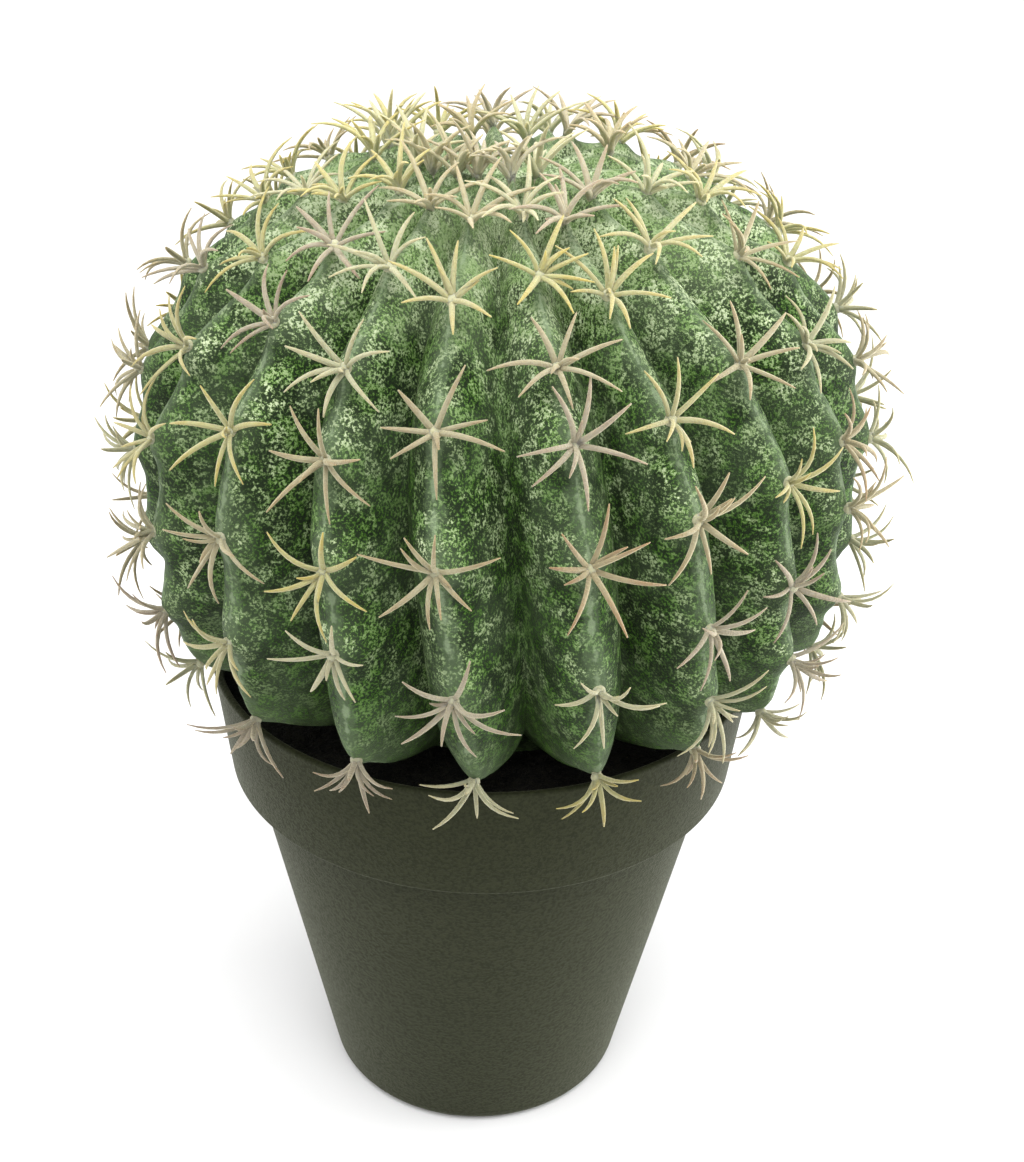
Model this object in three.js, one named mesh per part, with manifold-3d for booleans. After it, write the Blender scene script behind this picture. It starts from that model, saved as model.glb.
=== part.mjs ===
// A potted round cactus: a ribbed ball with stars of spines along its ribs, standing in black soil
// in a tapered plastic pot with a tall collar.
// Millimetres, +Z up. The origin is the centre of the pot's base, on the surface that it stands on.
// An azimuth of 0 faces -Y, the front, and grows towards +X.
import * as THREE from "three";
import { mergeVertices } from "three/addons/utils/BufferGeometryUtils.js";
import Module from "manifold-3d";

const wasm = await Module();
wasm.setup();

// ---------- the pot ----------
const POT_HEIGHT = 160;
const RIM_RADIUS = 85;
const COLLAR_HEIGHT = 38;
const COLLAR_FOOT_RADIUS = 80.7;
const WALL_TOP_RADIUS = 74.4;
const BASE_RADIUS = 50;
const BASE_ROUNDING = 5;
const EDGE_ROUNDING = 0.8;
const ROUNDING_STEPS = 2;
const BASE_ROUNDING_STEPS = 4;
const POT_WALL = 2.4;
const POT_FLOOR = 4;
const POT_SIDES = 72;

// ---------- the soil ----------
const SOIL_BELOW_RIM = 10;
const SOIL_RISE_AT_WALL = 2;
const SOIL_LUMP = 0.7;
const SMOOTH_EDGE = 1; // the soil has no lumps this near to the pot's wall
const SOIL_RINGS = 5;
const SOIL_SIDES = 48;
const FIT_GAP = 0.3;

// ---------- the plant's body ----------
const PLANT_SHIFT = 4; // the ball stands this far to +X of the pot's axis
const EQUATOR_ABOVE_RIM = 76;
// The outlines of the ribs' crests and of the furrows between them: a radius at the equator, and
// above and below it a height and a squareness, where 2 is an ellipse and more is squarer.
const CREST = {
  radius: 104.5,
  upper: { height: 81, squareness: 1.95 },
  lower: { height: 80, squareness: 4.07 },
  dip: 9,
};
const FURROW = {
  radius: 83,
  upper: { height: 72, squareness: 1.95 },
  lower: { height: 84, squareness: 3 },
  dip: 0,
};
const DIP_RADIUS = 26;
const ROOT_RADIUS = 40;
const ROOT_DEPTH = 6;
const ROOT_CLEARANCE = 1;

// ---------- the ribs ----------
const RIB_COUNT = 21;
const FIRST_RIB_AZIMUTH = -59.7;
const RIB_LEAN = 9.3; // degrees that a rib near LEAN_AZIMUTH leans each way, crown to lower tip
const LEAN_AZIMUTH = 46;
const TIP_FAN = 8; // degrees that the lower tips spread away from FAN_AZIMUTH
const FAN_AZIMUTH = -2;
const FAN_LENGTH = 30; // mm up the rib over which the spread fades
// Degrees that each of the eight ribs in front is turned, at its lower tip, half way to TURN_LENGTH
// mm up it, and from there on. The other ribs' turns are drawn between the limits of OTHER_TURN.
const FRONT_TURNS = [
  [1, -2, 0.5],
  [2.5, 0, -1.5],
  [3.5, 0, 0],
  [1, -2, -0.5],
  [-1, 0.5, 0.5],
  [-3.5, -0.5, -3],
  [-4, -1, -2],
  [0, -2, 4],
];
const OTHER_TURN = [-2, 2];
const TURN_LENGTH = 150;
const TIP_ABOVE_RIM = 10; // height of the ribs' lower tips
const TUBERCLE_HEIGHT = 2.6;
const TUBERCLE_RISE = 10; // mm over which a tubercle swells, above its star
const TUBERCLE_FALL = 6; // and below it
const COLUMNS_PER_RIB = 4;
const BODY_ROWS = 19;
// A rib's flanks fall by the distance from its crest to these powers, from sharp to broad: at its
// lower tip, from TIP_TAPER mm up it and, after an even change, at the crown.
const TIP_ROUNDNESS = 1.4;
const LOW_ROUNDNESS = 1.95;
const CROWN_ROUNDNESS = 1.5;
const TIP_TAPER = 36;

// ---------- the stars of spines ----------
const SPINES_PER_STAR = 7;
const SPINE_LENGTH = [13, 19.5];
// The spines' degrees above the star's own plane, low on a rib, on most of it and at the crown,
// and the mm up the rib between which one gives way to the next.
const LOW_RISE = [12, 52];
const SPINE_RISE = [8, 36];
const CROWN_RISE = [22, 54];
const LOW_REACH = [25, 60];
const CROWN_REACH = [150, 185];
const SPINE_JITTER = 0.28; // share of the angle between two spines
const STAR_TILT = 0.18;
const LOW_DROOP = 0.35; // downward tilt of the low stars, but for those at the ribs' lower tips
const TIP_REACH = 12;
const HUB_RADIUS = 1.8;
const HUB_CAP = 1;
const STALK_HEIGHT = [0.4, 1.6];
const STALK_ROOT = 3;
const POT_CLEARANCE = 1.4; // between the spines that hang over the rim and the pot
const CLEARANCE_TESTS = 10;
const LIFT_STEP = 1;
const STAR_SEED = 7;
const TURN_SEED = 3;

// How far up its rib each star sits, in mm from the rib's lower tip, on the eight ribs in front.
const FRONT_STARS = [
  [3, 28, 54, 82, 109, 138, 164, 190],
  [5, 38, 67, 96, 125, 150, 174, 194],
  [8, 47, 70, 97, 119, 148, 171, 196],
  [5, 38, 74, 107, 141, 168],
  [6, 41, 75, 105, 123, 149, 170, 194],
  [6, 30, 53, 84, 108, 142, 168],
  [3, 30, 55, 86, 117, 154, 177, 200],
  [8, 36, 66, 87, 114, 143, 172],
];
// The other ribs start with a star at the tip and carry the rest at uneven steps to the crown.
const FIRST_STAR = [2, 7];
const STAR_STEP = [24, 36];
const LAST_STAR = [170, 202];

// ---------- helpers ----------
const EQUATOR_Z = POT_HEIGHT + EQUATOR_ABOVE_RIM;
const SOIL_Z = POT_HEIGHT - SOIL_BELOW_RIM;
const { clamp, degToRad, lerp, radToDeg, smoothstep } = THREE.MathUtils;

function seededRandom(seed) {
  let state = seed;
  return ([low, high]) => {
    state = (Math.imul(state, 1664525) + 1013904223) >>> 0;
    return low + (high - low) * (state / 2 ** 32);
  };
}

function weld(geometry) {
  geometry.deleteAttribute("normal");
  geometry.deleteAttribute("uv");
  return mergeVertices(geometry, 1e-4);
}

function solidFrom(geometry) {
  const welded = weld(geometry);
  return new wasm.Manifold(
    new wasm.Mesh({
      numProp: 3,
      vertProperties: new Float32Array(welded.attributes.position.array),
      triVerts: new Uint32Array(welded.index.array),
    }),
  );
}

function geometryFrom(solid) {
  const mesh = solid.getMesh();
  const geometry = new THREE.BufferGeometry();
  geometry.setAttribute("position", new THREE.BufferAttribute(mesh.vertProperties, 3));
  geometry.setIndex(new THREE.BufferAttribute(mesh.triVerts, 1));
  return geometry;
}

function geometryOf(points, triangles) {
  const geometry = new THREE.BufferGeometry().setFromPoints(points);
  geometry.setIndex(triangles.flat());
  return geometry;
}

// A solid turned about Z, from a profile of [radius, height] that starts and ends on the axis.
function turned(profile, sides) {
  const points = profile.map(([radius, height]) => new THREE.Vector2(radius, height));
  return new THREE.LatheGeometry(points, sides).rotateX(Math.PI / 2);
}

function arc(centreRadius, centreHeight, radius, from, to, steps) {
  return Array.from({ length: steps + 1 }, (_, i) => {
    const angle = degToRad(lerp(from, to, i / steps));
    return [centreRadius + radius * Math.cos(angle), centreHeight + radius * Math.sin(angle)];
  });
}

// ---------- the pot ----------
const COLLAR_FOOT = POT_HEIGHT - COLLAR_HEIGHT;
const LEDGE = COLLAR_FOOT + POT_WALL; // the step inside the pot, over the collar's foot

function innerRadius(height) {
  const inWall = lerp(BASE_RADIUS, WALL_TOP_RADIUS, height / COLLAR_FOOT);
  const inCollar = lerp(COLLAR_FOOT_RADIUS, RIM_RADIUS, (height - COLLAR_FOOT) / COLLAR_HEIGHT);
  return (height < LEDGE ? inWall : inCollar) - POT_WALL;
}

function makePot() {
  const round = EDGE_ROUNDING;
  const topZ = POT_HEIGHT - round;
  const wallLean = radToDeg(Math.atan((WALL_TOP_RADIUS - BASE_RADIUS) / COLLAR_FOOT));
  const base = [BASE_RADIUS - BASE_ROUNDING, BASE_ROUNDING, BASE_ROUNDING];
  const profile = [
    [0, 0],
    ...arc(...base, -90, -wallLean, BASE_ROUNDING_STEPS),
    [WALL_TOP_RADIUS, COLLAR_FOOT],
    ...arc(COLLAR_FOOT_RADIUS - round, COLLAR_FOOT + round, round, -90, 0, ROUNDING_STEPS),
    ...arc(RIM_RADIUS - round, topZ, round, 0, 90, ROUNDING_STEPS),
    ...arc(RIM_RADIUS - POT_WALL + round, topZ, round, 90, 180, ROUNDING_STEPS),
    [innerRadius(LEDGE), LEDGE],
    [WALL_TOP_RADIUS - POT_WALL, LEDGE],
    [innerRadius(POT_FLOOR), POT_FLOOR],
    [0, POT_FLOOR],
  ];
  return turned(profile, POT_SIDES);
}

// ---------- the soil ----------
function makeSoil() {
  const random = seededRandom(STAR_SEED);
  const edgeZ = SOIL_Z + SOIL_RISE_AT_WALL;
  const edgeRadius = innerRadius(edgeZ) - FIT_GAP;
  const surface = Array.from({ length: SOIL_RINGS }, (_, i) => {
    const share = 1 - i / SOIL_RINGS;
    return [edgeRadius * share, lerp(SOIL_Z, edgeZ, share ** 3)];
  });
  const profile = [
    [0, POT_FLOOR + FIT_GAP],
    [innerRadius(POT_FLOOR) - FIT_GAP, POT_FLOOR + FIT_GAP],
    [WALL_TOP_RADIUS - POT_WALL - FIT_GAP, LEDGE + FIT_GAP],
    [innerRadius(LEDGE) - FIT_GAP, LEDGE + FIT_GAP],
    ...surface,
    [0, SOIL_Z],
  ];
  const geometry = weld(turned(profile, SOIL_SIDES));
  const { position } = geometry.attributes;
  for (let i = 0; i < position.count; i++) {
    const radius = Math.hypot(position.getX(i), position.getY(i));
    const lump = random([-SOIL_LUMP, SOIL_LUMP]);
    if (position.getZ(i) > SOIL_Z - SOIL_LUMP && radius < edgeRadius - SMOOTH_EDGE)
      position.setZ(i, position.getZ(i) + lump);
  }
  const holeRadius = ROOT_RADIUS + 2 * FIT_GAP;
  const hole = new THREE.CylinderGeometry(
    holeRadius,
    holeRadius,
    2 * (ROOT_DEPTH + FIT_GAP),
    SOIL_SIDES,
  ).rotateX(Math.PI / 2);
  hole.translate(PLANT_SHIFT, 0, SOIL_Z);
  return geometryFrom(solidFrom(geometry).subtract(solidFrom(hole)));
}

// ---------- the plant's body ----------
// A point of an outline, as [radius, height]. The angle runs from -90 degrees under the plant to
// 90 degrees at the crown.
function outlinePoint({ radius, upper, lower, dip }, angle) {
  const { height, squareness } = angle > 0 ? upper : lower;
  const out = radius * Math.cos(angle) ** (2 / squareness);
  const rise = Math.sign(angle) * height * Math.abs(Math.sin(angle)) ** (2 / squareness);
  const fall = angle > 0 ? dip * Math.exp(-((out / DIP_RADIUS) ** 2)) : 0;
  return new THREE.Vector2(out, EQUATOR_Z + rise - fall);
}

const OUTLINE_STEPS = 3000;
const outlineAngle = (i) => Math.PI * (i / OUTLINE_STEPS - 0.5);
const outline = (shape) =>
  Array.from({ length: OUTLINE_STEPS + 1 }, (_, i) => outlinePoint(shape, outlineAngle(i)));
const crestLine = outline(CREST);
const furrowLine = outline(FURROW);

const crestLengths = [0];
for (let i = 1; i <= OUTLINE_STEPS; i++)
  crestLengths.push(crestLengths[i - 1] + crestLine[i].distanceTo(crestLine[i - 1]));
const tipLength = crestLengths[crestLine.findIndex(({ y }) => y > POT_HEIGHT + TIP_ABOVE_RIM)];
const ROOT_DISTANCE = crestLengths[furrowLine.findIndex(({ x }) => x > ROOT_RADIUS)] - tipLength;
const CROWN_DISTANCE = crestLengths[OUTLINE_STEPS] - tipLength;

// The crest, its outward normal and the furrow at a distance up the rib from its lower tip.
function sectionAt(distance) {
  const found = crestLengths.findIndex((length) => length >= distance + tipLength);
  const i = clamp(found < 0 ? OUTLINE_STEPS : found, 1, OUTLINE_STEPS - 1);
  const along = crestLine[i + 1].clone().sub(crestLine[i - 1]).normalize();
  return {
    crest: crestLine[i],
    normal: new THREE.Vector2(along.y, -along.x),
    furrow: furrowLine[i],
  };
}

function ribTurns() {
  const random = seededRandom(TURN_SEED);
  return Array.from({ length: RIB_COUNT }, (_, rib) => {
    const drawn = [random(OTHER_TURN), random(OTHER_TURN), random(OTHER_TURN)];
    return FRONT_TURNS[rib] ?? drawn;
  });
}

const RIB_TURNS = ribTurns();

// Azimuth in degrees of a rib's crest at a distance up the rib. Every rib leans and turns a little.
function ribAzimuth(rib, distance) {
  const azimuth = FIRST_RIB_AZIMUTH + (rib * 360) / RIB_COUNT;
  const lean = RIB_LEAN * Math.cos(degToRad(azimuth - LEAN_AZIMUTH));
  const fan = TIP_FAN * Math.sin(degToRad(azimuth - FAN_AZIMUTH));
  const share = clamp(distance / TURN_LENGTH, 0, 1);
  const [low, middle, high] = RIB_TURNS[rib % RIB_COUNT];
  return (
    azimuth +
    lean * (1 - (2 * distance) / CROWN_DISTANCE) +
    fan * Math.exp(-((distance / FAN_LENGTH) ** 2)) +
    low * (1 - share) * (1 - 2 * share) +
    middle * 4 * share * (1 - share) +
    high * share * (2 * share - 1)
  );
}

// Azimuth between a rib's crest, where across is 0, and the next one's, where it is 1.
function azimuthAcross(rib, across, distance) {
  return lerp(ribAzimuth(rib, distance), ribAzimuth(rib + 1, distance), across);
}

function starPlaces() {
  const random = seededRandom(STAR_SEED);
  return Array.from({ length: RIB_COUNT }, (_, rib) => {
    if (rib < FRONT_STARS.length) return FRONT_STARS[rib];
    const places = [];
    const last = random(LAST_STAR);
    for (let place = random(FIRST_STAR); place < last; place += random(STAR_STEP))
      places.push(place);
    return places;
  });
}

const STAR_PLACES = starPlaces();

// Each star sits on a tubercle, a low swelling of its rib's crest that is steeper below the star.
function tubercleHeight(rib, distance) {
  const swellings = STAR_PLACES[rib % RIB_COUNT].map((place) => {
    const length = distance > place ? TUBERCLE_RISE : TUBERCLE_FALL;
    return Math.exp(-(((distance - place) / length) ** 2));
  });
  return TUBERCLE_HEIGHT * Math.max(...swellings);
}

function onPlant(radius, height, azimuth) {
  const angle = degToRad(azimuth);
  return new THREE.Vector3(
    PLANT_SHIFT + radius * Math.sin(angle),
    -radius * Math.cos(angle),
    height,
  );
}

function roundnessAt(distance) {
  const upToCrown = clamp(distance / CROWN_DISTANCE, 0, 1);
  const untapered = lerp(LOW_ROUNDNESS, CROWN_ROUNDNESS, upToCrown);
  return lerp(TIP_ROUNDNESS, untapered, smoothstep(distance, 0, TIP_TAPER));
}

// A point of the skin: across runs from 0 on a rib's crest to 1 on the next one's.
function skinPoint(rib, across, distance) {
  const { crest, normal, furrow } = sectionAt(distance);
  const fromCrest = 1 - Math.abs(2 * across - 1); // 0 on a crest, 1 in the furrow
  const ridge = 1 - fromCrest ** roundnessAt(distance);
  const swelling = tubercleHeight(rib + Math.round(across), distance) * ridge ** 3;
  const point = furrow.clone().lerp(crest, ridge).addScaledVector(normal, swelling);
  return onPlant(point.x, point.y, azimuthAcross(rib, across, distance));
}

function makeBody() {
  const columns = RIB_COUNT * COLUMNS_PER_RIB;
  const ring = (pointAt) =>
    Array.from({ length: columns }, (_, column) => {
      const rib = Math.floor(column / COLUMNS_PER_RIB);
      return pointAt(rib, column / COLUMNS_PER_RIB - rib);
    });
  const rootRing = (height) =>
    ring((rib, across) => onPlant(ROOT_RADIUS, height, azimuthAcross(rib, across, ROOT_DISTANCE)));
  const rings = [rootRing(SOIL_Z - ROOT_DEPTH), rootRing(SOIL_Z + ROOT_CLEARANCE)];
  for (let row = 0; row < BODY_ROWS; row++) {
    const distance = lerp(ROOT_DISTANCE, CROWN_DISTANCE, row / BODY_ROWS);
    rings.push(ring((rib, across) => skinPoint(rib, across, distance)));
  }
  const points = rings.flat();
  const rootCentre = points.push(onPlant(0, SOIL_Z - ROOT_DEPTH, 0)) - 1;
  const crownCentre = points.push(onPlant(0, sectionAt(CROWN_DISTANCE).crest.y, 0)) - 1;
  const triangles = [];
  for (let column = 0; column < columns; column++) {
    const next = (column + 1) % columns;
    const last = (rings.length - 1) * columns;
    triangles.push([rootCentre, next, column], [crownCentre, last + column, last + next]);
    for (let low = 0; low < last; low += columns) {
      const high = low + columns;
      triangles.push(
        [low + column, low + next, high + next],
        [low + column, high + next, high + column],
      );
    }
  }
  return geometryOf(points, triangles);
}

// ---------- the stars of spines ----------
function clearsPot(hub, tip) {
  for (let i = 1; i <= CLEARANCE_TESTS; i++) {
    const { x, y, z } = hub.clone().lerp(tip, i / CLEARANCE_TESTS);
    const overRim = z > POT_HEIGHT + POT_CLEARANCE;
    const outsideRim = Math.hypot(x, y) > RIM_RADIUS + POT_CLEARANCE;
    if (!overRim && !outsideRim) return false;
  }
  return true;
}

// The limits of the spines' rise on a star at a distance up its rib.
function riseAt(place) {
  const fromLow = smoothstep(place, ...LOW_REACH);
  const toCrown = smoothstep(place, ...CROWN_REACH);
  return SPINE_RISE.map((rise, i) =>
    lerp(lerp(LOW_RISE[i], rise, fromLow), CROWN_RISE[i], toCrown),
  );
}

// A star is a stalk rooted in the rib, widening to a hub with a ring of three-sided spines.
function makeStar(rib, place, random) {
  const { crest, normal } = sectionAt(place);
  const azimuth = ribAzimuth(rib, place);
  const axis = onPlant(normal.x, normal.y, azimuth).sub(onPlant(0, 0, azimuth));
  const sideways = new THREE.Vector3(0, 0, 1).cross(axis).normalize();
  axis.addScaledVector(sideways, random([-STAR_TILT, STAR_TILT]));
  axis.z += random([-STAR_TILT, STAR_TILT]);
  if (place > TIP_REACH) axis.z -= LOW_DROOP * (1 - smoothstep(place, ...LOW_REACH));
  axis.normalize();
  const uphill = axis.clone().cross(sideways).normalize();
  const rightward = uphill.clone().cross(axis);
  const foot = onPlant(crest.x, crest.y, azimuth).addScaledVector(axis, TUBERCLE_HEIGHT);
  const hub = foot.clone().addScaledVector(axis, random(STALK_HEIGHT));

  // A point seen from the hub: an angle round the star's axis, a distance out and a height.
  const around = (angle, out, rise) =>
    hub
      .clone()
      .addScaledVector(rightward, out * Math.cos(angle))
      .addScaledVector(uphill, out * Math.sin(angle))
      .addScaledVector(axis, rise);

  const step = (2 * Math.PI) / SPINES_PER_STAR;
  const points = [around(0, 0, HUB_CAP), foot.addScaledVector(axis, -STALK_ROOT)];
  const triangles = [];
  for (let i = 0; i < SPINES_PER_STAR; i++) {
    const angle = step * (i + 0.5 + random([-SPINE_JITTER, SPINE_JITTER]));
    const length = random(SPINE_LENGTH);
    const rise = degToRad(random(riseAt(place)));
    const tip = around(angle, length * Math.cos(rise), length * Math.sin(rise));
    while (!clearsPot(hub, tip)) tip.z += LIFT_STEP;
    points.push(around(step * i, HUB_RADIUS, 0), tip);
    const [cap, root] = [0, 1];
    const before = 2 + 2 * i;
    const after = 2 + 2 * ((i + 1) % SPINES_PER_STAR);
    const end = before + 1;
    triangles.push([cap, before, end], [cap, end, after], [before, after, end], [root, after, before]);
  }
  return geometryOf(points, triangles);
}

function makeCactus() {
  const random = seededRandom(STAR_SEED);
  let solid = solidFrom(makeBody());
  STAR_PLACES.forEach((places, rib) =>
    places.forEach((place) => {
      solid = solid.add(solidFrom(makeStar(rib, place, random)));
    }),
  );
  return geometryFrom(solid);
}

// ---------- the object ----------
const PLASTIC = new THREE.MeshStandardMaterial({ color: "#3e423a", roughness: 0.75, metalness: 0 });
const BLACK_SOIL = new THREE.MeshStandardMaterial({ color: "#14120f", roughness: 1, metalness: 0 });
const SKIN = new THREE.MeshStandardMaterial({ color: "#3f6b45", roughness: 0.7, metalness: 0 });

function named(name, geometry, material) {
  const mesh = new THREE.Mesh(geometry, material);
  mesh.name = name;
  return mesh;
}

const pottedCactus = new THREE.Group();
pottedCactus.add(
  named("pot", makePot(), PLASTIC),
  named("soil", makeSoil(), BLACK_SOIL),
  named("cactus", makeCactus(), SKIN),
);

export default pottedCactus;
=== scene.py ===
"""A potted round cactus: the looks of the pot, the soil, the ribbed skin and the stars of spines."""

import bisect
import functools
import math
import random
from types import SimpleNamespace

import bmesh
import bpy
from mathutils import Matrix, Vector, noise


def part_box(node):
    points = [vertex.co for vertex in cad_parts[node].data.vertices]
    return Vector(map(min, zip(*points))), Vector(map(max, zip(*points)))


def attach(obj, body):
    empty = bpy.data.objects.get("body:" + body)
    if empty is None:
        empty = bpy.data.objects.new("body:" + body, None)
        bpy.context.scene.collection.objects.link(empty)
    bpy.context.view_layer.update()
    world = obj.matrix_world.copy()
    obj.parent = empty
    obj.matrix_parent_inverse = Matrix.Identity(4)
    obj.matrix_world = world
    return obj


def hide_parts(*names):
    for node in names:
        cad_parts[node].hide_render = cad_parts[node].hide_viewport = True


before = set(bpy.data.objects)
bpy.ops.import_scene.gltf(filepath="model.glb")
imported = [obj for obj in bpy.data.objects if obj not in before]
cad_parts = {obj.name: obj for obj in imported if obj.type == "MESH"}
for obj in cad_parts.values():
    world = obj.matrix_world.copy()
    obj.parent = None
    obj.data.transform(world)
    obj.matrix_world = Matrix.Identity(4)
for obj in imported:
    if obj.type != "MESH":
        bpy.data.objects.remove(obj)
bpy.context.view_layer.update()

# Lengths below are in millimetres, and each mesh is scaled to metres when it is finished.
MM = 0.001
POT_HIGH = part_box("pot")[1] / MM


# ---------- the camera, the lights and the floor ----------
CAMERA_PLACE = (0, -477.3, 443.6)
CAMERA_TURN = math.radians(-1.02)
CAMERA_PITCH = math.radians(-28.84)
CAMERA_ROLL = math.radians(1.68)
CAMERA_LENS = 54.2
CAMERA_NEAR = 0.01

# The soft lamps: where each stands, the point that it faces and its size, in metres, and its watts.
LAMPS = {
    "left_strip": ((-0.75, 0.05, 0.14), (0, 0, 0.1), (0.4, 0.26), 0.7),
    "right_strip": ((0.75, 0.05, 0.18), (0, 0, 0.12), (0.4, 0.34), 4.2),
    "overhead": ((0.05, -0.55, 1.35), (0, 0, 0.22), (0.8, 0.8), 11),
}
SKY_POWER = 1.65
SKY_SPREAD = math.radians(110)
SKY_TURN = (math.radians(15), math.radians(3), 0)
SURROUND_POWER = 1.0
FLOOR_SIZE = 12


def make_camera():
    data = bpy.data.cameras.new("camera")
    data.lens = CAMERA_LENS
    data.clip_start = CAMERA_NEAR
    camera = bpy.data.objects.new("camera", data)
    bpy.context.scene.collection.objects.link(camera)
    level = math.radians(90) + CAMERA_PITCH
    camera.matrix_world = (
        Matrix.Translation(Vector(CAMERA_PLACE) * MM)
        @ Matrix.Rotation(CAMERA_TURN, 4, "Z")
        @ Matrix.Rotation(level, 4, "X")
        @ Matrix.Rotation(CAMERA_ROLL, 4, "Z")
    )
    bpy.context.scene.camera = camera


def make_lamp(name, place, aim, size, power):
    """A soft white rectangular lamp."""
    data = bpy.data.lights.new(name, "AREA")
    data.shape = "RECTANGLE"
    data.size, data.size_y = size
    data.energy = power
    lamp = bpy.data.objects.new(name, data)
    lamp.location = place
    lamp.rotation_euler = (Vector(aim) - Vector(place)).to_track_quat("-Z", "Y").to_euler()
    bpy.context.scene.collection.objects.link(lamp)


def light_studio():
    """Soft lamps and a wide sky in an even white room."""
    for name, (place, aim, size, power) in LAMPS.items():
        make_lamp(name, place, aim, size, power)
    data = bpy.data.lights.new("sky", "SUN")
    data.energy = SKY_POWER
    data.angle = SKY_SPREAD
    sky = bpy.data.objects.new("sky", data)
    sky.rotation_euler = SKY_TURN
    bpy.context.scene.collection.objects.link(sky)
    world = bpy.data.worlds.new("studio")
    world.use_nodes = True
    background = world.node_tree.nodes["Background"]
    background.inputs["Color"].default_value = (1, 1, 1, 1)
    background.inputs["Strength"].default_value = SURROUND_POWER
    bpy.context.scene.world = world
    bpy.context.scene.view_settings.view_transform = "Standard"


# ---------- shader nodes ----------
# The places of the Mix node's colour sockets, whose names it has more than once.
MIX_SHARE = 0
MIX_FIRST = 6
MIX_SECOND = 7
MIX_RESULT = 2


def add_node(tree, kind, inputs=None, **fields):
    """Adds a node, sets its fields, and fills its inputs with values or with other sockets."""
    made = tree.nodes.new(kind)
    for field, value in fields.items():
        setattr(made, field, value)
    for key, value in (inputs or {}).items():
        if isinstance(value, bpy.types.NodeSocket):
            tree.links.new(value, made.inputs[key])
        else:
            made.inputs[key].default_value = value
    return made


def maths(tree, operation, *values, clamp=False):
    """The result of a sum, each of its values a socket or a number."""
    made = add_node(tree, "ShaderNodeMath", dict(enumerate(values)), operation=operation)
    made.use_clamp = clamp
    return made.outputs[0]


def mix_colours(tree, share, first, second):
    """A blend of two colours, each a socket or an RGBA value."""
    inputs = {MIX_SHARE: share, MIX_FIRST: first, MIX_SECOND: second}
    made = add_node(tree, "ShaderNodeMix", inputs, data_type="RGBA")
    return made.outputs[MIX_RESULT]


def remap(tree, value, low, high, to_low=0.0, to_high=1.0):
    """Turns a value between low and high smoothly into one between to_low and to_high."""
    inputs = {"Value": value, "From Min": low, "From Max": high, "To Min": to_low, "To Max": to_high}
    made = add_node(tree, "ShaderNodeMapRange", inputs, interpolation_type="SMOOTHSTEP")
    return made.outputs["Result"]


def attribute(tree, name):
    """A number kept in the mesh, at each vertex."""
    return add_node(tree, "ShaderNodeAttribute", attribute_name=name).outputs["Fac"]


def object_place(tree):
    return add_node(tree, "ShaderNodeTexCoord").outputs["Object"]


def new_group(name, inputs, output):
    """An empty node group. Each input has a default, or None where it takes a vector."""
    group = bpy.data.node_groups.new(name, "ShaderNodeTree")
    for label, default in inputs.items():
        kind = "NodeSocketVector" if default is None else "NodeSocketFloat"
        socket = group.interface.new_socket(label, in_out="INPUT", socket_type=kind)
        if default is not None:
            socket.default_value = default
    group.interface.new_socket(output, in_out="OUTPUT", socket_type="NodeSocketFloat")
    source = group.nodes.new("NodeGroupInput").outputs
    target = group.nodes.new("NodeGroupOutput").inputs
    return group, source, target


def noise_of_size(group, source, detail, roughness=0.5, distortion=0.0):
    """Noise at the group's Place, with lumps of its Size in metres."""
    scale = maths(group, "DIVIDE", 1.0, source["Size"])
    inputs = {
        "Vector": source["Place"],
        "Scale": scale,
        "Detail": detail,
        "Roughness": roughness,
        "Distortion": distortion,
    }
    return add_node(group, "ShaderNodeTexNoise", inputs).outputs["Fac"]


def cut_between(group, value, middle, spread):
    """1 well over the middle, 0 well under it, with a soft edge as wide as the spread each way."""
    low = maths(group, "SUBTRACT", middle, spread)
    high = maths(group, "ADD", middle, spread)
    return remap(group, value, low, high)


# Specks lie where the noise is over a middle: the first where they cover nothing, and with the
# second added to it where they cover all.
NO_COVER = 0.72
FULL_COVER = -0.45


def make_specks_group():
    """Specks of one size, in metres, over a share of the surface. Curl draws them out into fibres."""
    inputs = {"Place": None, "Size": 0.001, "Cover": 0.3, "Curl": 0.0, "Softness": 0.05}
    group, source, target = new_group("specks", inputs, "Mask")
    grain = noise_of_size(group, source, 2.0, distortion=source["Curl"])
    middle = maths(group, "MULTIPLY_ADD", source["Cover"], FULL_COVER, NO_COVER)
    group.links.new(cut_between(group, grain, middle, source["Softness"]), target["Mask"])
    return group


def make_patches_group():
    """Large soft patches, from 0 to 1, of one size in metres."""
    group, source, target = new_group("patches", {"Place": None, "Size": 0.03, "Contrast": 0.15}, "Mask")
    cloud = noise_of_size(group, source, 3.0, roughness=0.6)
    group.links.new(cut_between(group, cloud, 0.5, source["Contrast"]), target["Mask"])
    return group


def make_grain_group():
    """An even grain round 0.5, of one size in metres."""
    group, source, target = new_group("grain", {"Place": None, "Size": 0.001}, "Grain")
    group.links.new(noise_of_size(group, source, 3.0, roughness=0.7), target["Grain"])
    return group


SPECKS = make_specks_group()
PATCHES = make_patches_group()
GRAIN = make_grain_group()


def use_group(tree, group, **values):
    """Places a group in a material and returns its mask."""
    made = add_node(tree, "ShaderNodeGroup", node_tree=group)
    for label, value in values.items():
        socket = made.inputs[label.capitalize()]
        if isinstance(value, bpy.types.NodeSocket):
            tree.links.new(value, socket)
        else:
            socket.default_value = value
    return made.outputs[0]


def new_material(name):
    material = bpy.data.materials.new(name)
    material.use_nodes = True
    tree = material.node_tree
    return material, tree, tree.nodes["Principled BSDF"]


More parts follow.
